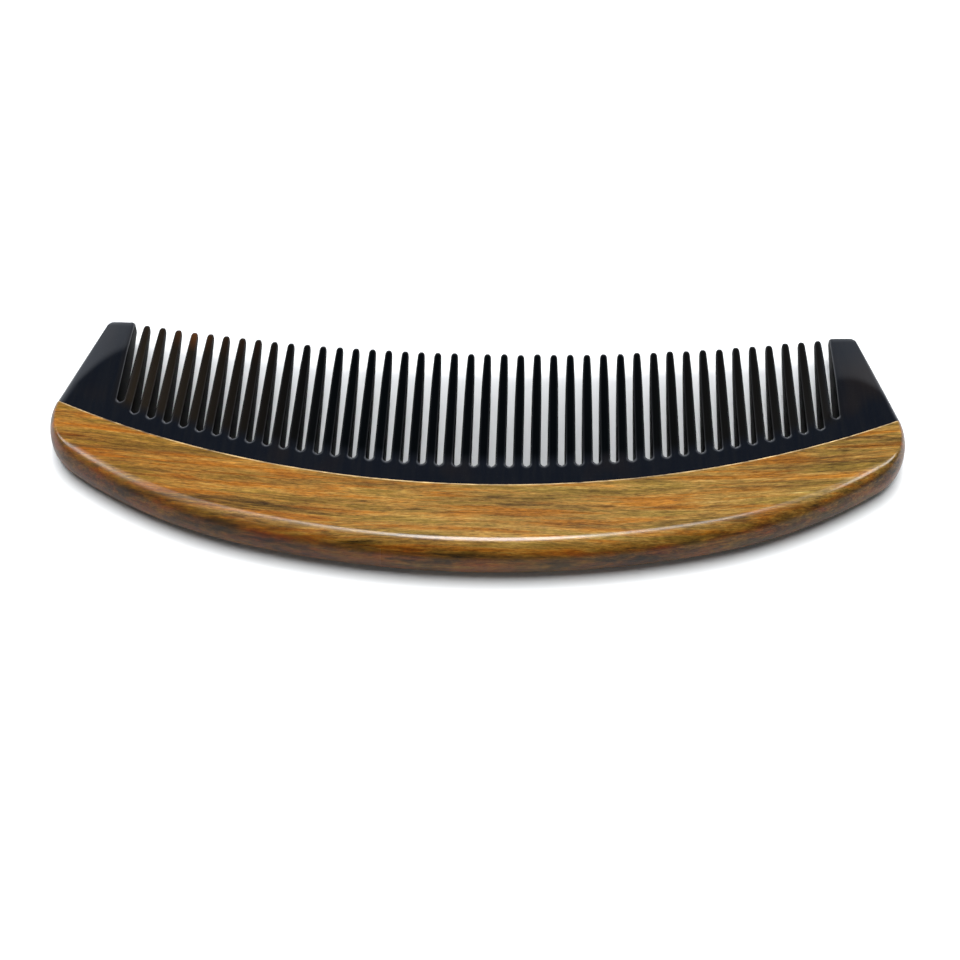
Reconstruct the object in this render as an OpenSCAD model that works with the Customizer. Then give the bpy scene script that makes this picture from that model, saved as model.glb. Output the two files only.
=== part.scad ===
// Crescent beard comb: a sandalwood handle glued to a plate of black horn that carries the teeth.
// It lies flat, +X along its length and the teeth towards +Y. The origin is the centre of its footprint.

/* [Overall] */
// Length over the rounded ends, mm
comb_length = 171.4; // [164:0.2:178]
// Width from the handle's back to the tops of the end guards, mm
comb_width = 62.4; // [60:0.2:66]
// Thickness of the handle, mm
thickness = 8.2; // [7:0.1:10]
// How far the rounded edge reaches in from the outline, mm
edge_run = 4.2; // [3:0.1:5.2]
// Share of that reach that is left along the end guards
guard_edge_share = 0.4; // [0.25:0.05:0.6]

/* [Outline] */
// Radius of the long back curve, mm
back_radius = 184; // [172:1:200]
// Half of the angle that the back curve spans, degrees
back_half_angle = 14; // [12:0.5:16]
// Radius of the curve between the back and the end corner, mm
shoulder_radius = 100; // [94:0.5:108]
// Radius of the lower end corner, mm
corner_radius = 14.5; // [11:0.5:17]
// Lean of the end guards' outer edges, degrees
side_lean = 14; // [11:0.5:16]
// Radius of the guards' outer top corners, mm
guard_corner = 1.6; // [1:0.1:3]

/* [Joint] */
// Width of the wood at the middle of the comb, mm
handle_depth = 17.2; // [15:0.1:18]
// Radius of the curved joint between wood and horn, mm
joint_radius = 194; // [182:1:206]
// Depth of the tongue that sits in the handle's groove, mm
tongue_depth = 5; // [3:0.5:6]
// Thickness of the tongue, mm
tongue_thickness = 3.2; // [2:0.2:4]
// Half of the tongue's length, mm
tongue_reach = 68.6; // [60:0.2:71]
// Thickness of the glue line, mm
glue_gap = 0.2; // [0.15:0.05:0.3]

/* [Teeth] */
// Number of teeth
tooth_count = 42; // [36:1:42]
// Distance from tooth to tooth, mm
tooth_pitch = 3.43; // [3.2:0.01:3.5]
// Width of a tooth at its root, mm
tooth_width = 2; // [1.6:0.02:2.2]
// Share of its width that a tooth loses towards its point, most of it in the last quarter
tooth_narrowing = 0.28; // [0:0.01:0.4]
// How far the outermost teeth lean outwards at their tips, mm
tooth_fan = 0.4; // [0:0.1:0.8]
// Width of the horn band between the joint and the middle gap, mm
band_width = 5.5; // [5:0.1:7.5]
// Radius of the line through the gap bottoms, mm
root_radius = 207; // [195:1:220]
// How much shorter the two outermost gaps are, mm
end_gap_step = 2; // [0:0.1:3]
// How far the middle tooth tips stand back from the guard tops, mm
tip_setback = 6.2; // [5:0.1:8]
// Radius of the line through the tooth tips, mm
tip_radius = 406; // [380:1:500]
// Thickness of a tooth where its point begins, mm
tip_thickness = 1.3; // [1:0.1:2.2]
// Length of the point, mm
tip_length = 1.2; // [0.8:0.1:2]

/* [Hidden] */
$fn = 96;
fine_fn = 720;
layer = 0.01;
edge_step = 15;
back_steps = 12;
shoulder_steps = 8;
corner_steps = 10;
guard_steps = 4;
share_start = -84;
share_end = -20;
gap_facets = 32;
margin = 1;
half_length = comb_length / 2;
back_y = -comb_width / 2;
top_y = comb_width / 2;
mid_z = thickness / 2;
joint_y = back_y + handle_depth;
joint_centre = [0, joint_y + joint_radius];
root_y = joint_y + band_width;
gap_radius = (tooth_pitch - tooth_width) / 2;
guard_x = tooth_count / 2 * tooth_pitch + gap_radius;

// Horn thickness against distance from the joint: the plate thins towards the tops of the guards.
horn_taper = [
    [0, thickness],
    [band_width, 0.88 * thickness],
    [2.5 * band_width, 0.74 * thickness],
    [4 * band_width, 0.54 * thickness],
    [6 * band_width, 0.24 * thickness]
];

// Outline: every curve is an arc that runs smoothly into the next.
back_centre = [0, back_y + back_radius];
back_end = -90 + back_half_angle;
shoulder_centre = back_centre + (back_radius - shoulder_radius) * ray(back_end);
corner_reach = half_length - corner_radius - shoulder_centre.x;
corner_drop = sqrt(pow(shoulder_radius - corner_radius, 2) - pow(corner_reach, 2));
corner_centre = shoulder_centre + [corner_reach, -corner_drop];
shoulder_end = atan2(-corner_drop, corner_reach);
side_distance = corner_centre * ray(side_lean) + corner_radius;

function ray(angle) = [cos(angle), sin(angle)];

function arc(centre, radius, from, to, steps) =
    [for (i = [0:steps]) centre + radius * ray(from + (to - from) * i / steps)];

// The guard's top corner lies against the side line and the top line, both moved in by inset.
function guard_arc(inset) =
    let (r = max(guard_corner - inset, 0.1))
    let (y = top_y - inset - r)
    let (x = (side_distance - inset - r - y * sin(side_lean)) / cos(side_lean))
    arc([x, y], r, side_lean, 90, guard_steps);

// Share of the edge run where the outline faces an angle: the whole of it along the back, less round the ends.
function edge_share(angle) =
    let (t = max(0, min(1, (angle - share_start) / (share_end - share_start))))
    1 - (1 - guard_edge_share) * t * t * (3 - 2 * t);

function edge_arc(centre, radius, from, to, steps, inset) =
    [for (i = [0:steps])
        let (angle = from + (to - from) * i / steps)
        centre + (radius - inset * edge_share(angle)) * ray(angle)];

function half_outline(inset) = concat(
    edge_arc(back_centre, back_radius, -90, back_end, back_steps, inset),
    edge_arc(shoulder_centre, shoulder_radius, back_end, shoulder_end, shoulder_steps, inset),
    edge_arc(corner_centre, corner_radius, shoulder_end, side_lean, corner_steps, inset),
    guard_arc(inset * guard_edge_share)
);

// Height of the gap circles' centres, and of the tooth tips, at a distance x from the middle.
function sagitta(radius, x) = radius - sqrt(radius * radius - x * x);
function gap_x(j) = (j - tooth_count / 2) * tooth_pitch;
function gap_y(j) =
    root_y + gap_radius + sagitta(root_radius, gap_x(j)) + (j == 0 || j == tooth_count ? end_gap_step : 0);
function tooth_x(i) = gap_x(i + 0.5);
function tooth_base(i) = max(gap_y(i), gap_y(i + 1));
function tooth_tip(i) = top_y - tip_setback + sagitta(tip_radius, tooth_x(i));
function horn_thickness(x, y) = lookup(joint_radius - norm([x, y] - joint_centre), horn_taper);

// Half width of a tooth at the share s of its length: a slight taper, then a round end from point_start.
point_start = 0.952;
function point_factor(s) = sqrt(1 - pow(max(0, (s - point_start) / (1 - point_start)), 2));
function half_width(s) = tooth_width / 2 * (1 - tooth_narrowing * pow(s, 4)) * point_factor(s);
tooth_steps = [0, 0.5, 0.68, 0.8, 0.89, point_start, 0.968, 0.98, 0.989, 0.995, 0.999];

// The whole comb's rounded slab, before it is divided into wood and horn.
module slab() {
    hull()
        for (a = [-90:edge_step:90])
            translate([0, 0, mid_z + (mid_z - layer / 2) * sin(a)])
                linear_extrude(layer, center = true) outline(edge_run * (1 - cos(a)));
}

module outline(inset) {
    half = half_outline(inset);
    polygon(half);
    mirror([1, 0]) polygon(half);
}

// A cylinder about the joint's centre: everything inside it lies on the horn's side of the joint.
module joint_disc(extra, height) {
    translate([joint_centre.x, joint_centre.y, mid_z])
        cylinder(r = joint_radius + extra, h = height, center = true, $fn = fine_fn);
}

// The tongue's space, grown by clearance on every side.
module tongue_space(clearance) {
    intersection() {
        joint_disc(tongue_depth + clearance, tongue_thickness + 2 * clearance);
        translate([0, 0, mid_z])
            cube([2 * (tongue_reach + clearance), comb_width, thickness], center = true);
    }
}

// Plan of the solid horn: guards and band, with a column under each tooth and a round-bottomed slot between.
module blade_plan() {
    difference() {
        union() {
            for (side = [-1, 1])
                translate([side * (guard_x + half_length) / 2, 0])
                    square([half_length - guard_x + 2 * gap_radius, comb_width + margin], center = true);
            for (i = [0:tooth_count - 1])
                translate([tooth_x(i) - tooth_pitch / 2, back_y])
                    square([tooth_pitch, tooth_base(i) - back_y]);
        }
        for (j = [0:tooth_count])
            translate([gap_x(j), gap_y(j)]) {
                circle(r = gap_radius, $fn = gap_facets);
                translate([-gap_radius, 0]) square([2 * gap_radius, comb_width]);
            }
    }
}

// Envelope of the horn's thickness, turned about the joint's centre.
module horn_envelope() {
    upper = [for (p = horn_taper) [joint_radius - p[0], mid_z + p[1] / 2]];
    lower = [for (k = [len(horn_taper) - 1:-1:0])
        [joint_radius - horn_taper[k][0], mid_z - horn_taper[k][1] / 2]];
    translate([joint_centre.x, joint_centre.y, 0])
        rotate_extrude($fn = fine_fn) polygon(concat(upper, lower));
}

module tooth(i) {
    base = tooth_base(i);
    length = tooth_tip(i) - base;
    half_root = horn_thickness(tooth_x(i), base) / 2;
    drift = tooth_fan * tooth_x(i) / guard_x;
    right = [for (s = tooth_steps) [s * drift + half_width(s), s * length]];
    left = [for (k = [len(tooth_steps) - 1:-1:0]) [2 * tooth_steps[k] * drift - right[k].x, right[k].y]];
    side = [
        [0, half_root],
        [length - tip_length, tip_thickness / 2],
        [length, tip_thickness / 4],
        [length, -tip_thickness / 4],
        [length - tip_length, -tip_thickness / 2],
        [0, -half_root]
    ];
    translate([tooth_x(i), base, mid_z])
        intersection() {
            translate([0, 0, -mid_z]) linear_extrude(thickness) polygon(concat(right, left));
            rotate([90, 0, 90]) linear_extrude(tooth_pitch, center = true) polygon(side);
        }
}

module handle() {
    color("#a9722f")
        difference() {
            slab();
            joint_disc(glue_gap, 2 * thickness);
            tongue_space(glue_gap);
        }
}

module blade() {
    color("#15151b")
        union() {
            intersection() {
                slab();
                horn_envelope();
                linear_extrude(thickness) blade_plan();
            }
            difference() {
                tongue_space(0);
                joint_disc(-margin, 2 * thickness);
            }
        }
}

module teeth() {
    color("#1f1b1a")
        for (i = [0:tooth_count - 1])
            tooth(i);
}

module glue_film() {
    color("#dcc79a")
        difference() {
            union() {
                intersection() {
                    slab();
                    joint_disc(glue_gap, 2 * thickness);
                }
                tongue_space(glue_gap);
            }
            joint_disc(0, 2 * thickness);
            tongue_space(0);
        }
}

handle();
blade();
teeth();
glue_film();
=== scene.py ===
"""Crescent beard comb on a white studio floor: a sandalwood handle glued to a plate of black horn.

The comb lies flat, +X along its length and the teeth towards +Y. Shapes are worked out in millimetres, with
z measured from the comb's middle plane, and every mesh is stored in metres in the frame's own coordinates.
"""

import math
import random

import bmesh
import bpy
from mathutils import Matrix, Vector


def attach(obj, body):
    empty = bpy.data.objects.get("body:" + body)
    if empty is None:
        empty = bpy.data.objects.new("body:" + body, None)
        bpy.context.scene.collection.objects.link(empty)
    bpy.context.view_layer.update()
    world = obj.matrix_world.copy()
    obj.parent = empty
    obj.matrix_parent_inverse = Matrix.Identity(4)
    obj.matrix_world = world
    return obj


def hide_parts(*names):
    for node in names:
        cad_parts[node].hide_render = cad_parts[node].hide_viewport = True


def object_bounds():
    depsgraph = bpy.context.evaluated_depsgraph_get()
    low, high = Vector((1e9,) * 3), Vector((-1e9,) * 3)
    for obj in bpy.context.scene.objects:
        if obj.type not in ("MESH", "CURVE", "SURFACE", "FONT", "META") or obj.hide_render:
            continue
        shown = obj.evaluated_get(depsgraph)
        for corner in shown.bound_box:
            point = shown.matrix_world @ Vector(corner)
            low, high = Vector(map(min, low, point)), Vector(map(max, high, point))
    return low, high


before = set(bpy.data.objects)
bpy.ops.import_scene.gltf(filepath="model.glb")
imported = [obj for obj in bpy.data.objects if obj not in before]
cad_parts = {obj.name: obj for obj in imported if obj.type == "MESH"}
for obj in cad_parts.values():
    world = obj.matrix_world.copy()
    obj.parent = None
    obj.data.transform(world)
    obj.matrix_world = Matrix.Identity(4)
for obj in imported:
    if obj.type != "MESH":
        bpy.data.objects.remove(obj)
cad_low, cad_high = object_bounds()

MM = 0.001

# Overall sizes, from the frame.
HALF_LENGTH = round(cad_high.x / MM, 1)
BACK_Y = round(cad_low.y / MM, 1)
TOP_Y = round(cad_high.y / MM, 1)
HALF_THICK = round(cad_high.z / MM, 1) / 2

# Outline: the back curve, the shoulder, the lower end corner and the guard's leaning side.
BACK_RADIUS = 184
BACK_HALF_ANGLE = 14
SHOULDER_RADIUS = 100
CORNER_RADIUS = 14.5
SIDE_LEAN = 14
GUARD_CORNER = 1.6
EDGE_RUN = 4.2
GUARD_EDGE_SHARE = 0.4
SHARE_START = -84
SHARE_END = -20

# Joint between wood and horn, with the tongue and groove inside it.
HANDLE_DEPTH = 17.2
JOINT_RADIUS = 194
JOINT_CENTRE_Y = BACK_Y + HANDLE_DEPTH + JOINT_RADIUS
GLUE_GAP = 0.2
TONGUE_DEPTH = 5
TONGUE_HALF = 1.6

# Teeth and the gaps between them. A pair of numbers is for the left-hand and the right-hand side.
TOOTH_COUNT = 42
PITCH = 3.43
TOOTH_WIDTH = 2.0
TOOTH_NARROWING = 0.28
TOOTH_FAN = (0.4, 0.8)
GUARD_LEAN = (0.35, 0.65)
TIP_ROUND = 1.6
BAND_WIDTH = 5.5
ROOT_RADIUS = 207
END_GAP_STEP = 2
TIP_SETBACK = 6.2
TIP_RADIUS = 406
TONGUE_REACH = 20 * PITCH
GAP_RADIUS = (PITCH - TOOTH_WIDTH) / 2
GUARD_X = TOOTH_COUNT / 2 * PITCH + GAP_RADIUS

# Half thickness of the horn: the slope of the band, the guards' two faces and the teeth.
# A guard's tilt and bulge are measured from a line GUARD_MIDDLE beyond its inner wall.
BAND_SLOPE = 0.09
GUARD_SLOPE = 0.05
GUARD_TOP_HALF = (1.2, 1.03)
GUARD_TAPER = 0.15
GUARD_TILT = (0.1, 0.0)
GUARD_BULGE = 0.01
GUARD_MIDDLE = 4
GUARD_BLEND = 0.15
TIP_HALF = 0.6
TOOTH_HOLLOW = 0.25

# Roundings: along the teeth, at the bottoms of the gaps, and at the guards' inner top corners.
# Near a tooth's point the rounding shrinks to a share of the tooth's half width and half thickness.
GAP_ROUNDING = 0.45
ROUNDED_WIDTH = 0.6
ROUNDED_HEIGHT = 0.95
BOTTOM_ROUNDING = 1.2
BOTTOM_DROP = 0.9
BLUNT_START = 0.94
INNER_CORNER = (1.1, 0.7)
INNER_RUN_SHARE = 0.85

# How unlike each other the teeth are: their tips' places and their thickness there.
DRAW_SEED = 7
TIP_SIDEWAYS = 0.06
TIP_ALONG = 0.12
TIP_THICKER = 0.08

# Mesh steps. RIM_SHARE is the first narrow strip of the handle's flat face, as a share of its width.
PATH_STEP = 0.25
EDGE_STEPS = 12
HANDLE_STEPS = 140
FACE_STEPS = 6
RIM_SHARE = 0.01
ROUND_STEPS = 6
BAND_STEPS = 4
GAP_STEPS = 9
TOOTH_STEPS = 14
POINT_STEPS = 10
CORE_STEPS = 4
GUARD_WALL_STEPS = 18
GUARD_CORNER_STEPS = 5
GUARD_TOP_STEPS = 8
SHARP_ANGLE = 38
MERGE_DISTANCE = 0.0005
TOLERANCE = 0.001


# ---------------------------------------------------------------- plan curves

def ray(angle):
    return Vector((math.cos(math.radians(angle)), math.sin(math.radians(angle))))


def mix(a, b, share):
    return a + (b - a) * share


def smooth_step(low, high, value):
    t = min(1, max(0, (value - low) / (high - low)))
    return t * t * (3 - 2 * t)


def smooth_min(a, b, width):
    """The smaller of two values, blended where they are less than width apart."""
    h = max(width - abs(a - b), 0) / width
    return min(a, b) - h * h * width / 4


def sagitta(radius, x):
    """How far an arc has risen at a distance x from its lowest point."""
    return radius - math.sqrt(radius * radius - x * x)


BACK_END = BACK_HALF_ANGLE - 90
BACK_CENTRE = Vector((0, BACK_Y + BACK_RADIUS))
SHOULDER_CENTRE = BACK_CENTRE + (BACK_RADIUS - SHOULDER_RADIUS) * ray(BACK_END)
CORNER_REACH = HALF_LENGTH - CORNER_RADIUS - SHOULDER_CENTRE.x
CORNER_DROP = math.sqrt((SHOULDER_RADIUS - CORNER_RADIUS) ** 2 - CORNER_REACH ** 2)
CORNER_CENTRE = SHOULDER_CENTRE + Vector((CORNER_REACH, -CORNER_DROP))
SHOULDER_END = math.degrees(math.atan2(-CORNER_DROP, CORNER_REACH))
SIDE_DISTANCE = CORNER_CENTRE.dot(ray(SIDE_LEAN)) + CORNER_RADIUS
JOINT_CENTRE = Vector((0, JOINT_CENTRE_Y))


def arc(centre, radius, start, end):
    """Points along an arc, about PATH_STEP apart, each with the direction out of the arc's centre."""
    count = max(4, round(abs(math.radians(end - start)) * radius / PATH_STEP))
    outward = [ray(mix(start, end, k / count)) for k in range(count + 1)]
    return [(centre + radius * direction, direction) for direction in outward]


def guard_corner_centre():
    """Centre of the guard's outer top corner, against the side line and the top line."""
    y = TOP_Y - GUARD_CORNER
    x = (SIDE_DISTANCE - GUARD_CORNER - y * math.sin(math.radians(SIDE_LEAN)))
    return Vector((x / math.cos(math.radians(SIDE_LEAN)), y))


def straight(start, end, outward):
    """Points along a straight side, about PATH_STEP apart, each with the same outward direction."""
    count = max(4, round((end - start).length / PATH_STEP))
    return [(mix(start, end, k / count), outward) for k in range(count + 1)]


def side_path():
    """The end corner and the guard's side, up to the guard's top corner."""
    out = ray(SIDE_LEAN)
    low = CORNER_CENTRE + CORNER_RADIUS * out
    high = guard_corner_centre() + GUARD_CORNER * out
    corner = arc(CORNER_CENTRE, CORNER_RADIUS, SHOULDER_END, SIDE_LEAN)
    return corner + straight(low, high, out)[1:]


def run_share(outward):
    """Share of the edge run at a place: the whole of it along the back, less round the ends."""
    angle = math.degrees(math.atan2(outward.y, outward.x))
    return mix(1, GUARD_EDGE_SHARE, smooth_step(SHARE_START, SHARE_END, angle))


def outline_path():
    """The right half of the outline, from the middle of the back to the guard's top corner."""
    back = arc(BACK_CENTRE, BACK_RADIUS, -90, BACK_END)
    shoulder = arc(SHOULDER_CENTRE, SHOULDER_RADIUS, BACK_END, SHOULDER_END)
    return back + shoulder[1:] + side_path()[1:]


def joint_distance(point):
    """How far a point lies on the horn's side of the joint curve."""
    return JOINT_RADIUS - (Vector(point[:2]) - JOINT_CENTRE).length


def joint_y(x, radius):
    """The y at a distance x from the middle of a curve about the joint's centre."""
    return JOINT_CENTRE_Y - math.sqrt(radius * radius - x * x)


def cut(points, radius, keep_inside):
    """The part of a path on one side of a circle about the joint's centre, ending exactly on the circle."""
    kept = []
    for a, b in zip(points, points[1:]):
        gap_a = radius - (a - JOINT_CENTRE).length
        gap_b = radius - (b - JOINT_CENTRE).length
        inside = gap_a >= 0
        if inside == keep_inside:
            kept.append(a)
        if (gap_b >= 0) != inside:
            kept.append(mix(a, b, gap_a / (gap_a - gap_b)))
    if ((points[-1] - JOINT_CENTRE).length <= radius) == keep_inside:
        kept.append(points[-1])
    return kept


def resample(points, count):
    """The same path with count equal steps."""
    lengths = [0.0]
    for a, b in zip(points, points[1:]):
        lengths.append(lengths[-1] + (b - a).length)
    result = []
    k = 0
    for n in range(count):
        target = lengths[-1] * n / count
        while lengths[k + 1] < target:
            k += 1
        result.append(mix(points[k], points[k + 1], (target - lengths[k]) / (lengths[k + 1] - lengths[k])))
    return result + [points[-1]]


# ---------------------------------------------------------------- meshes

class Shell:
    """Faces given by their corner points, joined into one closed mesh."""

    def __init__(self):
        self.faces = []

    def face(self, *corners):
        self.faces.append(corners)

    def grid(self, rows):
        for lower, upper in zip(rows, rows[1:]):
            for k in range(len(lower) - 1):
                self.face(lower[k], lower[k + 1], upper[k + 1], upper[k])

    def joint_face(self, line, back_radius, slot_half):
        """Upper half of the face at the joint, with the tongue or the groove; line is its upper edge."""
        for a, b in zip(line, line[1:]):
            middle_a, middle_b = (a[0], a[1], 0), (b[0], b[1], 0)
            slot_a, slot_b = (a[0], a[1], slot_half), (b[0], b[1], slot_half)
            in_a, in_b = (abs(p[0]) <= TONGUE_REACH + TOLERANCE for p in (a, b))
            if in_a and in_b:
                back_a = (a[0], joint_y(a[0], back_radius))
                back_b = (b[0], joint_y(b[0], back_radius))
                self.face(a, b, slot_b, slot_a)
                self.face(slot_a, slot_b, (*back_b, slot_half), (*back_a, slot_half))
                self.face((*back_a, slot_half), (*back_b, slot_half), (*back_b, 0), (*back_a, 0))
                for p, slot, middle, back in ((a, slot_a, middle_a, back_a), (b, slot_b, middle_b, back_b)):
                    if abs(p[0]) >= TONGUE_REACH - TOLERANCE:
                        self.face(slot, (*back, slot_half), (*back, 0), middle)
            elif in_a:
                self.face(a, b, middle_b, middle_a, slot_a)
            elif in_b:
                self.face(a, b, slot_b, middle_b, middle_a)
            else:
                self.face(a, b, middle_b, middle_a)

    def build(self, name, mirrors):
        """One mesh object from the faces and their mirror images; mirrors lists (x sign, z sign) pairs."""
        index = {}
        faces = []
        for x_sign, z_sign in mirrors:
            for corners in self.faces:
                face = []
                for x, y, z in corners:
                    key = (round(x_sign * x, 4), round(y, 4), round(z_sign * z, 4))
                    number = index.setdefault(key, len(index))
                    if number not in face:
                        face.append(number)
                if len(face) > 2:
                    faces.append(face)
        mesh = bpy.data.meshes.new(name)
        mesh.from_pydata([(x * MM, y * MM, (HALF_THICK + z) * MM) for x, y, z in index], [], faces)
        solid = bmesh.new()
        solid.from_mesh(mesh)
        bmesh.ops.remove_doubles(solid, verts=solid.verts, dist=MERGE_DISTANCE * MM)
        bmesh.ops.recalc_face_normals(solid, faces=solid.faces)
        solid.to_mesh(mesh)
        solid.free()
        mesh.shade_smooth()
        mesh.set_sharp_from_angle(angle=math.radians(SHARP_ANGLE))
        piece = bpy.data.objects.new(name, mesh)
        bpy.context.scene.collection.objects.link(piece)
        return piece


def build_handle():
    """The wooden crescent: rounded outer edge, flat faces, and a grooved face along the joint."""
    shell = Shell()
    face_radius = JOINT_RADIUS + GLUE_GAP
    outline = outline_path()
    rings = []
    for step in range(EDGE_STEPS + 1):
        angle = math.radians(90 * step / EDGE_STEPS)
        inset = EDGE_RUN * (1 - math.cos(angle))
        shrunk = [point - inset * run_share(outward) * outward for point, outward in outline]
        path = cut(shrunk, face_radius, False)
        height = HALF_THICK * math.sin(angle)
        rings.append([(p.x, p.y, height) for p in resample(path, HANDLE_STEPS)])
    shell.grid(rings)

    inner = rings[-1]
    end_x = inner[-1][0]
    slot_steps = round(HANDLE_STEPS * TONGUE_REACH / end_x)
    arc_x = [TONGUE_REACH * k / slot_steps for k in range(slot_steps)]
    end_steps = HANDLE_STEPS - slot_steps
    arc_x += [mix(TONGUE_REACH, end_x, k / end_steps) for k in range(end_steps + 1)]
    joint = [(x, joint_y(x, face_radius), HALF_THICK) for x in arc_x]
    flat_face = []
    for share in [0, RIM_SHARE] + [step / FACE_STEPS for step in range(1, FACE_STEPS + 1)]:
        flat_face.append([tuple(mix(Vector(a), Vector(b), share)) for a, b in zip(inner, joint)])
    shell.grid(flat_face)
    joint_line = joint + [ring[-1] for ring in reversed(rings[:-1])]
    shell.joint_face(joint_line, face_radius + TONGUE_DEPTH, TONGUE_HALF + GLUE_GAP)
    return shell.build("sandalwood_handle", [(1, 1), (-1, 1), (1, -1), (-1, -1)])


def gap_x(j):
    return (j - TOOTH_COUNT / 2) * PITCH


def gap_y(j):
    step = END_GAP_STEP if j in (0, TOOTH_COUNT) else 0
    return BACK_Y + HANDLE_DEPTH + BAND_WIDTH + GAP_RADIUS + sagitta(ROOT_RADIUS, gap_x(j)) + step


def band_half(point):
    """Half thickness of the band, which slopes evenly away from the joint."""
    return HALF_THICK - BAND_SLOPE * max(0, joint_distance(point))


def plate_half(point):
    """Half thickness of the band, and of the guards: nearly flat, then a face that thins to the top."""
    distance = max(0, joint_distance(point))
    x, y = abs(point[0]), point[1]
    right = point[0] > 0
    thick = HALF_THICK - BAND_SLOPE * min(distance, BAND_WIDTH)
    thick -= GUARD_SLOPE * max(0, distance - BAND_WIDTH)
    beside = x - GUARD_X - GUARD_MIDDLE
    taper = GUARD_TOP_HALF[right] + GUARD_TAPER * (TOP_Y - y)
    taper -= GUARD_TILT[right] * beside + GUARD_BULGE * beside ** 2
    share = smooth_step(GUARD_X - 2 * GAP_RADIUS, GUARD_X, x)
    return mix(band_half(point), smooth_min(thick, taper, GUARD_BLEND), share)


def rounded_column(point, inward, run, drop, half):
    """Points from the middle plane up a wall and over its rounding; half(place) is the half thickness."""
    column = [(point.x, point.y, 0)]
    for k in range(ROUND_STEPS + 1):
        angle = math.radians(90 * k / ROUND_STEPS)
        place = point + inward * run * (1 - math.cos(angle))
        column.append((place.x, place.y, half(place) - drop * (1 - math.sin(angle))))
    return column


def core_row(left, right, half):
    """Points strictly between two rounded columns' inner ends, with both ends included."""
    a, b = Vector(left[-1][:2]), Vector(right[-1][:2])
    row = [left[-1]]
    for k in range(1, CORE_STEPS):
        place = mix(a, b, k / CORE_STEPS)
        row.append((place.x, place.y, half(place, k / CORE_STEPS)))
    return row + [right[-1]]


def band_rows(joint_points, left_low, right_low):
    """Rows of the band under one tooth, from the joint up to the gaps' roundings."""
    rows = []
    for step in range(BAND_STEPS):
        row = []
        for k in range(CORE_STEPS + 1):
            top = mix(left_low, right_low, k / CORE_STEPS)
            foot = Vector((top.x, joint_y(top.x, JOINT_RADIUS)))
            place = mix(foot, top, step / BAND_STEPS)
            row.append((place.x, place.y, plate_half(place)))
        rows.append(row)
    joint_points.update(rows[0])
    return rows


def bottom_column(gap, step, side):
    """Column number step up a gap's round bottom; side is 1 for the gap's +X half and -1 for the other."""
    turn = ray(-90 + 90 * step / GAP_STEPS)
    out = Vector((side * turn.x, turn.y))
    run = mix(BOTTOM_ROUNDING, GAP_ROUNDING, step / GAP_STEPS)
    drop = mix(BOTTOM_DROP, GAP_ROUNDING, step / GAP_STEPS)
    return rounded_column(gap + GAP_RADIUS * out, out, run, drop, plate_half)


def draw_tip(centre_x, draw):
    """A tooth's tip and its half thickness, each a little different from its neighbour's."""
    x = centre_x * (1 + TOOTH_FAN[centre_x > 0] / GUARD_X)
    y = TOP_Y - TIP_SETBACK + sagitta(TIP_RADIUS, centre_x)
    tip_x = x + draw.uniform(-TIP_SIDEWAYS, TIP_SIDEWAYS)
    tip_y = y + draw.uniform(-TIP_ALONG, TIP_ALONG)
    return Vector((tip_x, tip_y)), TIP_HALF * draw.uniform(1 - TIP_THICKER, 1 + TIP_THICKER)


def tooth_shares(point_start):
    """Where a tooth's rows lie, as shares of its length: even steps, then closer ones round the point."""
    even = [point_start * k / TOOTH_STEPS for k in range(1, TOOTH_STEPS + 1)]
    turns = [math.radians(90 * k / POINT_STEPS) for k in range(1, POINT_STEPS + 1)]
    return even + [mix(point_start, 1, math.sin(turn)) for turn in turns]


def tooth_section(share, point_start):
    """A tooth's half width at a share of its length, and how much of its thickness is left there."""
    point_share = max(0, (share - point_start) / (1 - point_start))
    narrow = math.sqrt(max(0, 1 - point_share ** 2))
    blunt = math.sqrt(max(0, 1 - smooth_step(BLUNT_START, 1, share) ** 3))
    return TOOTH_WIDTH / 2 * (1 - TOOTH_NARROWING * share ** 4) * narrow, blunt


def tooth_wall(place, sign, half_width, height):
    """One side of a tooth at one place: sign is -1 for its left-hand side and 1 for its right-hand side."""
    run = min(GAP_ROUNDING, ROUNDED_WIDTH * half_width)
    drop = min(GAP_ROUNDING, ROUNDED_HEIGHT * height)
    return rounded_column(place, Vector((-sign, 0)), run, drop, lambda where: height)


def build_tooth(shell, joint_points, i, draw):
    """Tooth number i with its share of the band, from the joint to the point."""
    left_gap = Vector((gap_x(i), gap_y(i)))
    right_gap = Vector((gap_x(i + 1), gap_y(i + 1)))
    below = Vector((0, GAP_RADIUS + BOTTOM_ROUNDING))
    core = band_rows(joint_points, left_gap - below, right_gap - below)
    left_rows, right_rows = [], []
    for step in range(GAP_STEPS + 1):
        left_rows.append(bottom_column(left_gap, step, 1))
        right_rows.append(bottom_column(right_gap, step, -1))
        core.append(core_row(left_rows[-1], right_rows[-1], lambda place, share: plate_half(place)))

    centre_x = (left_gap.x + right_gap.x) / 2
    tip, tip_half = draw_tip(centre_x, draw)
    root_halves = (plate_half(left_rows[-1][-1]), plate_half(right_rows[-1][-1]))
    point_start = 1 - TIP_ROUND / (tip.y - max(left_gap.y, right_gap.y))
    for share in tooth_shares(point_start):
        half_width, blunt = tooth_section(share, point_start)
        shift = (tip.x - centre_x) * share
        hollow = TOOTH_HOLLOW * math.sin(math.pi * share)
        heights = [(mix(root_half, tip_half, share) - hollow) * blunt for root_half in root_halves]
        walls = []
        for gap, sign, height in ((left_gap, -1, heights[0]), (right_gap, 1, heights[1])):
            place = Vector((centre_x + shift + sign * half_width, mix(gap.y, tip.y, share)))
            walls.append(tooth_wall(place, sign, half_width, height))
        left_rows.append(walls[0])
        right_rows.append(walls[1])
        core.append(core_row(*walls, lambda place, k: mix(*heights, k)))
    shell.grid(core)
    shell.grid(left_rows)
    shell.grid(right_rows)


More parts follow.
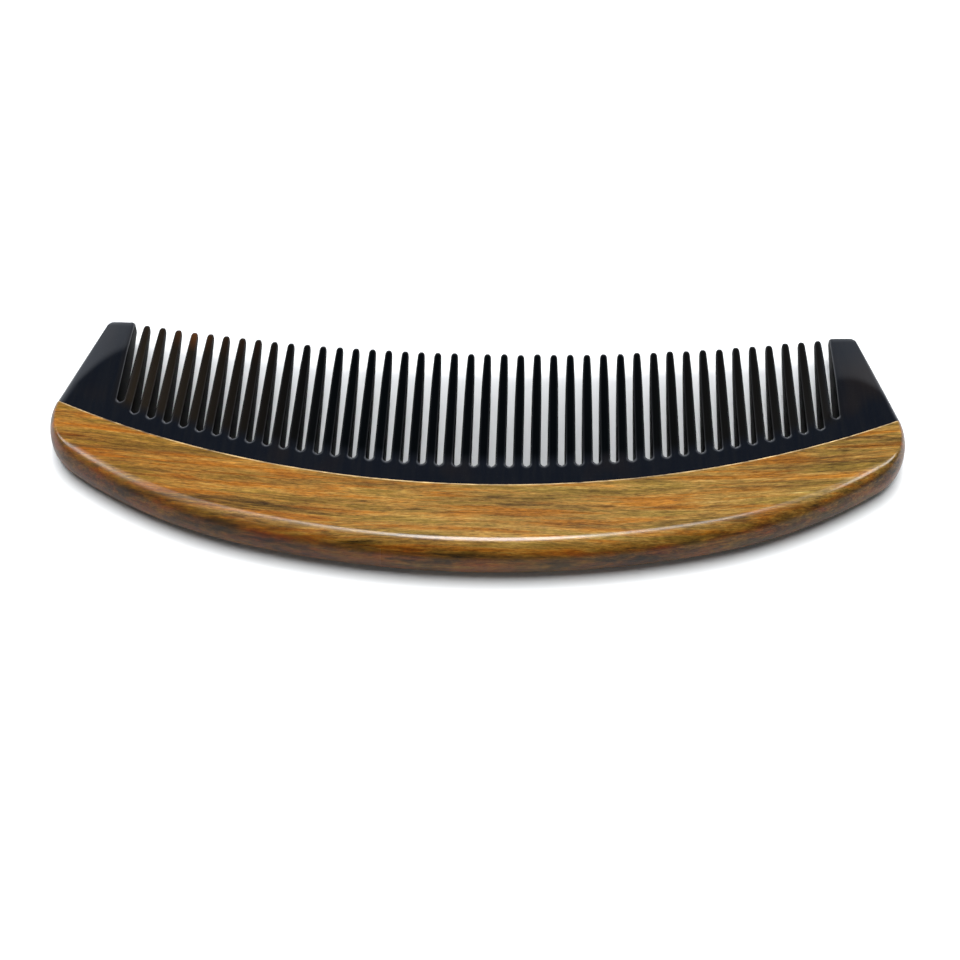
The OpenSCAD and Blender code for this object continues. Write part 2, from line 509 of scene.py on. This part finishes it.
def coons(bottom, top, left, right):
    """A smooth grid of plan points between four edges that share their corners."""
    rows = []
    last_u, last_v = len(bottom) - 1, len(left) - 1
    for n in range(last_v + 1):
        v = n / last_v
        row = []
        for m in range(last_u + 1):
            u = m / last_u
            across = mix(left[n], right[n], u)
            along = mix(bottom[m], top[m], v)
            corners = mix(mix(bottom[0], bottom[-1], u), mix(top[0], top[-1], u), v)
            row.append(across + along - corners)
        rows.append(row)
    return rows


def edge_width(point, outward, half):
    """How far the rounded outer edge reaches in, in step with the horn's thickness there."""
    return EDGE_RUN * run_share(outward) * half(point) / HALF_THICK


def side_columns(half, count):
    """Columns up the guard's rounded outer side, from the joint to its top corner."""
    path = side_path()
    columns = [[] for _ in range(count + 1)]
    for k in range(ROUND_STEPS + 1):
        angle = math.radians(90 * k / ROUND_STEPS)
        inset = 1 - math.cos(angle)
        ring = [point - out * edge_width(point, out, half) * inset for point, out in path]
        ring = resample(cut(ring, JOINT_RADIUS, True), count)
        for column, place in zip(columns, ring):
            if not column:
                column.append((place.x, place.y, 0))
            start_half = half(column[0])
            column.append((place.x, place.y, half(place) - start_half * (1 - math.sin(angle))))
    return columns


def top_columns(half, inner):
    """Columns over the guard's outer top corner, along its top and over its inner top corner."""
    outer = guard_corner_centre()
    radius = TOP_Y - inner.y
    columns = []
    for k in range(1, GUARD_CORNER_STEPS + 1):
        out = ray(mix(SIDE_LEAN, 90, k / GUARD_CORNER_STEPS))
        point = outer + GUARD_CORNER * out
        columns.append(rounded_column(point, -out, edge_width(point, out, half), half(point), half))
    up = ray(90)
    outer_run = edge_width(outer + GUARD_CORNER * up, up, half)
    inner_run = INNER_RUN_SHARE * radius
    for k in range(1, GUARD_TOP_STEPS + 1):
        share = k / GUARD_TOP_STEPS
        point = Vector((mix(outer.x, inner.x, share), TOP_Y))
        columns.append(rounded_column(point, -up, mix(outer_run, inner_run, share), half(point), half))
    for k in range(1, GUARD_CORNER_STEPS + 1):
        share = k / GUARD_CORNER_STEPS
        out = ray(mix(90, 180, share))
        point = inner + radius * out
        drop = mix(half(point), GAP_ROUNDING, share)
        columns.append(rounded_column(point, -out, mix(inner_run, GAP_ROUNDING, share), drop, half))
    return columns


def wall_columns(half, top, gap):
    """Columns down the guard's inner wall and round the outer half of the last gap's bottom."""
    columns = []
    for k in range(1, GUARD_WALL_STEPS + 1):
        point = mix(top, Vector((GUARD_X, gap.y)), k / GUARD_WALL_STEPS)
        columns.append(rounded_column(point, Vector((1, 0)), GAP_ROUNDING, GAP_ROUNDING, half))
    for k in range(1, GAP_STEPS + 1):
        out = ray(-90 * k / GAP_STEPS)
        run = mix(GAP_ROUNDING, BOTTOM_ROUNDING, k / GAP_STEPS)
        drop = mix(GAP_ROUNDING, BOTTOM_DROP, k / GAP_STEPS)
        columns.append(rounded_column(gap + GAP_RADIUS * out, out, run, drop, half))
    return columns


def build_guard(shell, joint_points, side):
    """One end guard, worked out on the +X side and turned over for the other."""
    def half(point):
        return plate_half((side * point[0], point[1]))

    def turned(points):
        return [(side * x, y, z) for x, y, z in points]

    wall_x = GUARD_X + GUARD_LEAN[side > 0]
    corner = INNER_CORNER[side > 0]
    inner = Vector((wall_x + corner, TOP_Y - corner))
    gap = Vector((gap_x(TOOTH_COUNT), gap_y(TOOTH_COUNT)))
    side_steps = BAND_STEPS + GAP_STEPS + GUARD_WALL_STEPS
    columns = side_columns(half, side_steps) + top_columns(half, inner)
    top_end = len(columns)
    columns += wall_columns(half, Vector((wall_x, inner.y)), gap)
    shell.grid([turned(column) for column in columns])

    rim = [Vector(column[-1][:2]) for column in columns]
    low = gap - Vector((0, GAP_RADIUS + BOTTOM_ROUNDING))
    foot = Vector((gap.x, joint_y(gap.x, JOINT_RADIUS)))
    left = [mix(foot, low, k / BAND_STEPS) for k in range(BAND_STEPS)] + rim[:top_end - 2:-1]
    right = rim[:side_steps + 1]
    top = rim[side_steps:top_end][::-1]
    bottom = [foot]
    for k in range(1, len(top) - 1):
        x = mix(foot.x, right[0].x, k / (len(top) - 1))
        bottom.append(Vector((x, joint_y(x, JOINT_RADIUS))))
    bottom.append(right[0])
    face = [[(p.x, p.y, half(p)) for p in row] for row in coons(bottom, top, left, right)]
    shell.grid([turned(row) for row in face])
    joint_points.update(turned(face[0]))
    joint_points.update(turned(columns[0]))


def build_horn():
    """The horn plate: band, 42 teeth, two end guards and the tongue that sits in the handle's groove."""
    shell = Shell()
    joint_points = set()
    draw = random.Random(DRAW_SEED)
    for i in range(TOOTH_COUNT):
        build_tooth(shell, joint_points, i, draw)
    build_guard(shell, joint_points, -1)
    build_guard(shell, joint_points, 1)
    line = []
    for point in sorted(joint_points):
        if not line or point[0] - line[-1][0] > TOLERANCE:
            line.append(point)
    shell.joint_face(line, JOINT_RADIUS + TONGUE_DEPTH, TONGUE_HALF)
    return shell.build("horn_plate", [(1, 1), (1, -1)])


# ---------------------------------------------------------------- materials

# Colours that change along or across the comb use a scale of 0 to 1 over these lengths.
SPAN_LENGTH = 200
SPAN_WIDTH = 50


def linear(red, green, blue):
    """Shader colour from ordinary 0-255 screen values."""
    values = [v / 255 for v in (red, green, blue)]
    return tuple(v / 12.92 if v <= 0.04045 else ((v + 0.055) / 1.055) ** 2.4 for v in values) + (1,)


class Nodes:
    """Short calls that build the nodes of one tree, and hand back their outputs."""

    def __init__(self, tree):
        self.tree = tree

    def add(self, kind):
        return self.tree.nodes.new("ShaderNode" + kind)

    def feed(self, socket, value):
        """Link an output to an input, or set the input to a plain value."""
        if isinstance(value, bpy.types.NodeSocket):
            self.tree.links.new(value, socket)
        else:
            socket.default_value = value

    def axis(self, vector, name):
        node = self.add("SeparateXYZ")
        self.feed(node.inputs[0], vector)
        return node.outputs[name]

    def math(self, operation, a, b=0.0, c=0.0):
        node = self.add("Math")
        node.operation = operation
        self.feed(node.inputs[0], a)
        self.feed(node.inputs[1], b)
        self.feed(node.inputs[2], c)
        return node.outputs[0]

    def ramp(self, value, *stops):
        """A colour ramp; each stop is a position with a colour or a grey level."""
        node = self.add("ValToRGB")
        self.feed(node.inputs["Fac"], value)
        elements = node.color_ramp.elements
        for k, (position, colour) in enumerate(stops):
            element = elements[k] if k < 2 else elements.new(position)
            element.position = position
            element.color = colour if isinstance(colour, tuple) else (colour, colour, colour, 1)
        return node.outputs["Color"]

    def mix(self, blend, share, a, b):
        node = self.add("Mix")
        node.data_type = "RGBA"
        node.blend_type = blend
        self.feed(node.inputs[0], share)
        colour_a, colour_b = (socket for socket in node.inputs if socket.type == "RGBA")
        self.feed(colour_a, a)
        self.feed(colour_b, b)
        return next(socket for socket in node.outputs if socket.type == "RGBA")


class Shader(Nodes):
    """One material's nodes, with its principled shader as surface and object coordinates as place."""

    def __init__(self, name):
        self.material = bpy.data.materials.new(name)
        self.material.use_nodes = True
        super().__init__(self.material.node_tree)
        self.surface = self.tree.nodes["Principled BSDF"]
        self.place = self.add("TexCoord").outputs["Object"]

    def stretched(self, x, y, z, vector=None, shift=(0, 0, 0)):
        """Coordinates scaled so that one unit is x, y and z millimetres long, then moved by shift units."""
        node = self.add("Mapping")
        self.feed(node.inputs["Vector"], vector or self.place)
        node.inputs["Scale"].default_value = (1 / (x * MM), 1 / (y * MM), 1 / (z * MM))
        node.inputs["Location"].default_value = shift
        return node.outputs["Vector"]

    def bowed(self, bow):
        """Object coordinates with the lines along X bent like a shallow bowl; bow is in units of 1/m."""
        x = self.axis(self.place, "X")
        node = self.add("CombineXYZ")
        self.feed(node.inputs["X"], x)
        bent = self.math("MULTIPLY_ADD", self.math("MULTIPLY", x, x), -bow, self.axis(self.place, "Y"))
        self.feed(node.inputs["Y"], bent)
        self.feed(node.inputs["Z"], self.axis(self.place, "Z"))
        return node.outputs["Vector"]

    def noise(self, vector, detail=2, roughness=0.5, output="Fac"):
        node = self.add("TexNoise")
        self.feed(node.inputs["Vector"], vector)
        node.inputs["Scale"].default_value = 1
        node.inputs["Detail"].default_value = detail
        node.inputs["Roughness"].default_value = roughness
        return node.outputs[output]

    def span(self, vector, name, length):
        """0 to 1 along one axis, over a length in millimetres with the origin at its middle."""
        return self.math("MULTIPLY_ADD", self.axis(vector, name), 1 / (length * MM), 0.5)

    def edge_share(self, flat, steep):
        """0 on the flat faces and 1 where the surface has turned well away from them."""
        node = self.add("NewGeometry")
        level = self.math("ABSOLUTE", self.axis(node.outputs["Normal"], "Z"))
        return self.ramp(level, (steep, 1.0), (flat, 0.0))

    def bump(self, height, distance, below=None):
        """A normal raised by height, up to a distance in millimetres; below is a bump to lay it on."""
        node = self.add("Bump")
        node.inputs["Strength"].default_value = 1
        node.inputs["Distance"].default_value = distance * MM
        self.feed(node.inputs["Height"], height)
        if below:
            self.feed(node.inputs["Normal"], below)
        return node.outputs["Normal"]


def wavy_grain(wood):
    """Coordinates whose X lines follow the grain: bowed like the comb, and swaying a little."""
    sway = wood.noise(wood.stretched(38, 14, 14), detail=1, output="Color")
    node = wood.add("VectorMath")
    node.operation = "MULTIPLY_ADD"
    wood.feed(node.inputs[0], sway)
    node.inputs[1].default_value = (0, 2.4 * MM, 2.4 * MM)
    wood.feed(node.inputs[2], wood.bowed(0.7))
    return node.outputs[0]


def grain_colour(wood, grain, streaks, fibres, along):
    """Olive brown to gold by streak and band, with orange and olive stretches and a paler right end."""
    bands = wood.noise(wood.stretched(46, 2.6, 2.6, grain), detail=3, roughness=0.6)
    tone = wood.math("MULTIPLY_ADD", streaks, 0.78, wood.math("MULTIPLY_ADD", bands, 0.6, -0.19))
    colour = wood.ramp(
        tone,
        (0.30, linear(38, 26, 7)),
        (0.40, linear(76, 54, 17)),
        (0.48, linear(104, 76, 27)),
        (0.56, linear(117, 87, 33)),
        (0.66, linear(135, 105, 47)),
        (0.78, linear(158, 132, 76)),
    )
    hue = wood.noise(wood.stretched(24, 1.5, 1.5, grain, (9, 4, 1)), detail=4, roughness=0.65)
    orange = wood.ramp(hue, (0.49, 0.0), (0.60, 1.0))
    colour = wood.mix("MULTIPLY", orange, colour, linear(255, 216, 148))
    olive = wood.ramp(hue, (0.39, 1.0), (0.49, 0.0))
    colour = wood.mix("MULTIPLY", olive, colour, linear(216, 224, 200))
    colour = wood.mix("MULTIPLY", 1.0, colour, wood.ramp(fibres, (0.3, 0.5), (0.7, 1.56)))
    right_end = wood.ramp(along, (0.25, 0.0), (0.9, 1.0))
    colour = wood.mix("MULTIPLY", right_end, colour, (1.14, 1.2, 1.6, 1))
    left_end = wood.ramp(along, (0.1, 1.0), (0.5, 0.0))
    return wood.mix("MULTIPLY", left_end, colour, (1.04, 0.9, 0.8, 1))


def add_veins(wood, grain, along, colour):
    """Long thin dark veins, with more of them near the ends than in the middle."""
    field = wood.noise(wood.stretched(22, 0.4, 0.4, grain, (7, 2, 3)), detail=2, roughness=0.6)
    veined = wood.ramp(along, (0.08, 0.4), (0.2, 1.0), (0.36, 0.0), (0.66, 0.0), (0.8, 1.0), (0.92, 0.0))
    veins = wood.ramp(wood.math("MULTIPLY_ADD", veined, 0.09, field), (0.6, 0.0), (0.72, 1.0))
    return wood.mix("MIX", wood.math("MULTIPLY", veins, 0.55), colour, linear(70, 46, 16))


def add_edge_shade_and_figure(wood, colour):
    """The rounded edge cuts across the grain: darker there, partly its own tone and partly painted shade
    where it turns away from the overhead light, with reddish and dark clouds.
    """
    edge = wood.edge_share(0.97, 0.6)
    # Painted shade: the steep edge is multiplied darker for the light it gets less of, on top of its own
    # darker tone.
    colour = wood.mix("MULTIPLY", edge, colour, linear(196, 176, 120))
    figure = wood.noise(wood.stretched(11, 5, 3, wood.place, (4, 2, 8)), detail=3, roughness=0.6)
    red_figure = wood.math("MULTIPLY", edge, wood.ramp(figure, (0.5, 0.0), (0.6, 1.0)))
    colour = wood.mix("MULTIPLY", red_figure, colour, linear(255, 222, 170))
    dark_figure = wood.math("MULTIPLY", edge, wood.ramp(figure, (0.4, 1.0), (0.48, 0.0)))
    return wood.mix("MULTIPLY", dark_figure, colour, linear(190, 196, 186))


def add_polish(wood, streaks, along):
    """A clear coat: sharp on the flat faces, softer round the edge, and rubbed duller at the left."""
    wood.feed(wood.surface.inputs["Roughness"], wood.ramp(streaks, (0.3, 0.5), (0.7, 0.4)))
    wood.surface.inputs["Specular IOR Level"].default_value = 0.06
    coat = wood.math("MULTIPLY_ADD", wood.edge_share(0.65, 0.3), -0.5, 0.85)
    wood.feed(wood.surface.inputs["Coat Weight"], coat)
    left_end = wood.ramp(along, (0.28, 0.13), (0.42, 0.0))
    rubbed = wood.math("MULTIPLY", left_end, wood.edge_share(0.9995, 0.993))
    edge_blur = wood.math("MULTIPLY_ADD", wood.edge_share(0.95, 0.7), 0.15, 0.12)
    wood.surface.inputs["Coat Roughness"].default_value = 0.15
    wood.feed(wood.surface.inputs["Coat Roughness"], wood.math("ADD", edge_blur, rubbed))


def sandalwood():
    """Green sandalwood: olive and golden streaks along X, dark veins and pores, under a clear polish."""
    wood = Shader("green_sandalwood")
    grain = wavy_grain(wood)
    along = wood.span(wood.place, "X", SPAN_LENGTH)
    streaks = wood.noise(wood.stretched(6, 0.5, 0.5, grain, (3, 1, 5)), detail=6, roughness=0.8)
    fibres = wood.noise(wood.stretched(1.6, 0.2, 0.2, grain, (1, 7, 2)), detail=3, roughness=0.75)
    colour = grain_colour(wood, grain, streaks, fibres, along)
    colour = add_veins(wood, grain, along, colour)
    pore_field = wood.noise(wood.stretched(2.2, 0.3, 0.3, grain, (5, 5, 5)), detail=1)
    pores = wood.ramp(pore_field, (0.66, 0.0), (0.74, 1.0))
    colour = wood.mix("MIX", wood.math("MULTIPLY", pores, 0.5), colour, linear(52, 34, 10))
    wood.feed(wood.surface.inputs["Base Color"], add_edge_shade_and_figure(wood, colour))
    add_polish(wood, streaks, along)
    relief = wood.bump(pores, -0.02, below=wood.bump(fibres, 0.006))
    wood.feed(wood.surface.inputs["Normal"], relief)
    return wood.material


def plate_colour(horn, fibres, cloud):
    """Blue-black, with slightly lighter fibres and a few brown clouds."""
    fibre_share = horn.ramp(fibres, (0.4, 0.0), (0.7, 1.0))
    colour = horn.mix("MIX", fibre_share, linear(9, 12, 18), linear(14, 16, 20))
    brown = horn.math("MULTIPLY", horn.ramp(cloud, (0.55, 0.0), (0.75, 1.0)), 0.35)
    return horn.mix("MIX", brown, colour, linear(30, 22, 14))


def tooth_colour(horn, across, height):
    """Black in the middle of the comb, browner outwards and most at the left, partly the horn's own brown
    and partly painted sheen; a few tips are pale.
    """
    along = horn.span(horn.place, "X", SPAN_LENGTH)
    # Painted sheen: the outer teeth are made lighter brown where they catch more reflection, along with some
    # of the horn's own brown.
    outer = horn.ramp(across, (0.03, 0.0), (0.07, 1.0))
    brown = horn.ramp(along, (0.2, linear(22, 18, 13)), (0.8, linear(12, 11, 10)))
    colour = horn.mix("MIX", outer, linear(2, 3, 4), brown)
    pale_stops = (0.168, 0.04), (0.184, 0.3), (0.2, 0.75), (0.217, 0.1), (0.27, 0.06), (0.29, 0.0)
    near_tip = horn.ramp(height, (0.78, 0.0), (0.98, 1.0))
    pale = horn.math("MULTIPLY", near_tip, horn.ramp(along, *pale_stops))
    return horn.mix("MIX", pale, colour, linear(88, 50, 18))


def black_horn():
    """Buffalo horn: a polished blue-black plate, less shiny teeth, and matt saw-cut sides in the gaps,
    darkened there as painted shade.
    """
    horn = Shader("black_horn")
    fibres = horn.noise(horn.stretched(0.7, 22, 0.7), detail=3, roughness=0.6)
    cloud = horn.noise(horn.stretched(16, 24, 16, shift=(2, 3, 1)), detail=2)
    height = horn.span(horn.bowed(2.4), "Y", SPAN_WIDTH)
    across = horn.math("ABSOLUTE", horn.axis(horn.place, "X"))
    beyond_roots = horn.ramp(height, (0.33, 0.0), (0.39, 1.0))
    between_guards = horn.ramp(across, (0.0722, 1.0), (0.0732, 0.0))
    tooth = horn.math("MULTIPLY", beyond_roots, between_guards)
    sawn_and_shaded = horn.edge_share(0.55, 0.35)
    colour = horn.mix("MIX", tooth, plate_colour(horn, fibres, cloud), tooth_colour(horn, across, height))
    # Painted shade: the steep sides, mostly the walls between the teeth, are darkened to about a third.
    shaded = horn.mix("MULTIPLY", 1.0, colour, (0.35, 0.35, 0.35, 1))
    horn.feed(horn.surface.inputs["Base Color"], horn.mix("MIX", sawn_and_shaded, colour, shaded))
    gloss = horn.ramp(cloud, (0.3, 0.08), (0.7, 0.12))
    horn.feed(horn.surface.inputs["Roughness"], horn.mix("MIX", sawn_and_shaded, gloss, (0.6, 0.6, 0.6, 1)))
    dull = horn.math("MAXIMUM", sawn_and_shaded, tooth)
    shine = horn.math("MULTIPLY_ADD", sawn_and_shaded, -0.06, horn.math("MULTIPLY_ADD", dull, -0.41, 0.5))
    horn.feed(horn.surface.inputs["Specular IOR Level"], shine)
    horn.surface.inputs["IOR"].default_value = 1.54
    horn.feed(horn.surface.inputs["Normal"], horn.bump(fibres, 0.003))
    return horn.material


def dried_glue():
    """Cream glue, stained dark brown in places."""
    glue = Shader("dried_glue")
    cloud = glue.noise(glue.stretched(7, 2, 2), detail=4, roughness=0.7)
    colour = glue.ramp(cloud, (0.38, linear(66, 50, 26)), (0.62, linear(196, 166, 114)))
    glue.feed(glue.surface.inputs["Base Color"], colour)
    glue.feed(glue.surface.inputs["Roughness"], glue.ramp(cloud, (0.3, 0.4), (0.7, 0.6)))
    return glue.material


def paint(piece, material):
    piece.data.materials.clear()
    piece.data.materials.append(material)


# ---------------------------------------------------------------- camera, light and floor

# The photograph's viewpoint: angles in degrees, distances in metres and the lens in millimetres.
CAMERA_ELEVATION = 50
CAMERA_YAW = -1.816
CAMERA_DISTANCE = 0.34296
CAMERA_TARGET = Vector((0.0011, -0.00607, 0))
CAMERA_LENS = 64.38
# Brightness of the white sweep beyond the comb, by elevation in degrees.
SWEEP_LEVELS = ((14, 1.0), (25, 0.52), (31, 0.25), (35, 0.02))
COOL_WHITE = (0.97, 1, 1.05)
FLOOR_REACH = 30


def add_camera():
    elevation, yaw = math.radians(CAMERA_ELEVATION), math.radians(CAMERA_YAW)
    level = math.cos(elevation)
    forward = Vector((math.sin(yaw) * level, math.cos(yaw) * level, -math.sin(elevation)))
    data = bpy.data.cameras.new("camera")
    data.lens = CAMERA_LENS
    data.sensor_width = 36
    data.clip_start = 0.01
    data.clip_end = 50
    camera = bpy.data.objects.new("camera", data)
    camera.location = CAMERA_TARGET - CAMERA_DISTANCE * forward
    camera.rotation_euler = forward.to_track_quat("-Z", "Y").to_euler()
    bpy.context.scene.collection.objects.link(camera)
    bpy.context.scene.camera = camera


def add_softbox(name, azimuth, elevation, distance, width, height, radiance):
    """An elliptical light aimed at the comb, given by its radiance; azimuth 90 is the teeth's side."""
    light = bpy.data.lights.new(name, "AREA")
    light.shape = "ELLIPSE"
    light.size = width
    light.size_y = height
    area = math.pi / 4 * width * height
    light.energy = radiance * math.pi * area
    softbox = bpy.data.objects.new(name, light)
    level = math.cos(math.radians(elevation))
    towards = ray(azimuth)
    height_share = math.sin(math.radians(elevation))
    softbox.location = Vector((towards.x * level, towards.y * level, height_share)) * distance
    softbox.rotation_euler = (-softbox.location).to_track_quat("-Z", "Y").to_euler()
    softbox.visible_camera = False
    bpy.context.scene.collection.objects.link(softbox)
    return softbox


def add_sky_light(name, elevation, spread, radiance):
    """A wide soft light, the same all over the floor; elevations below 0 are on the viewer's side."""
    light = bpy.data.lights.new(name, "SUN")
    light.angle = math.radians(spread)
    light.energy = radiance * 2 * math.pi * (1 - math.cos(light.angle / 2))
    sky = bpy.data.objects.new(name, light)
    tilt = elevation - 90 if elevation > 0 else elevation + 90
    sky.rotation_euler = (math.radians(tilt), 0, 0)
    sky.visible_glossy = False
    bpy.context.scene.collection.objects.link(sky)


def cool(level):
    """The surroundings' white at a brightness level."""
    return (*(level * share for share in COOL_WHITE), 1)


def add_surroundings():
    """A white sweep beyond the comb, a white skirting all round, and a dark room above them."""
    world = bpy.data.worlds.new("studio")
    bpy.context.scene.world = world
    world.use_nodes = True
    studio = Nodes(world.node_tree)
    direction = studio.add("TexCoord").outputs["Generated"]
    height, beyond = studio.axis(direction, "Z"), studio.axis(direction, "Y")
    levels = [(math.sin(math.radians(elevation)), cool(level)) for elevation, level in SWEEP_LEVELS]
    far_side = studio.ramp(beyond, (0.2, cool(0.1)), (0.7, cool(1.0)))
    sweep = studio.mix("MULTIPLY", 1, studio.ramp(height, *levels), far_side)
    skirting = studio.ramp(height, (0.05, cool(1.0)), (0.07, cool(0.0)))
    studio.feed(studio.tree.nodes["Background"].inputs["Color"], studio.mix("LIGHTEN", 1, sweep, skirting))


def add_floor():
    mesh = bpy.data.meshes.new("studio_floor")
    corners = [(FLOOR_REACH * x, FLOOR_REACH * y, 0) for x, y in ((-1, -1), (1, -1), (1, 1), (-1, 1))]
    mesh.from_pydata(corners, [], [(0, 1, 2, 3)])
    floor = bpy.data.objects.new("studio_floor", mesh)
    bpy.context.scene.collection.objects.link(floor)
    paper = Shader("white_paper")
    paper.surface.inputs["Base Color"].default_value = (0.685, 0.7, 0.71, 1)
    paper.surface.inputs["Roughness"].default_value = 0.9
    paper.surface.inputs["Specular IOR Level"].default_value = 0.1
    paint(floor, paper.material)


def add_lights():
    """Softboxes beyond the comb for its highlights, two windows in the guards, and a sky for the shadows."""
    add_softbox("key", 91, 67, 1.0, 0.2, 0.3, 11)
    add_softbox("key_glow", 89, 65, 1.0, 0.56, 0.22, 6)
    add_softbox("strip", 90, 68, 1.2, 2.2, 0.5, 1.4)
    for name, azimuth in (("left_window", 165), ("right_window", 15)):
        add_softbox(name, azimuth, 47, 1.0, 0.4, 0.4, 9).visible_diffuse = False
    add_sky_light("overhead", 78, 66, 5.6)
    add_sky_light("fill", -30, 70, 0.25)


add_camera()
add_surroundings()
add_floor()
add_lights()
bpy.context.scene.view_settings.view_transform = "Standard"

handle = build_handle()
paint(handle, sandalwood())
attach(handle, "root")
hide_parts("handle")

plate = build_horn()
paint(plate, black_horn())
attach(plate, "root")
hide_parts("blade", "teeth")

glue = dried_glue()
paint(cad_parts["glue_film"], glue)
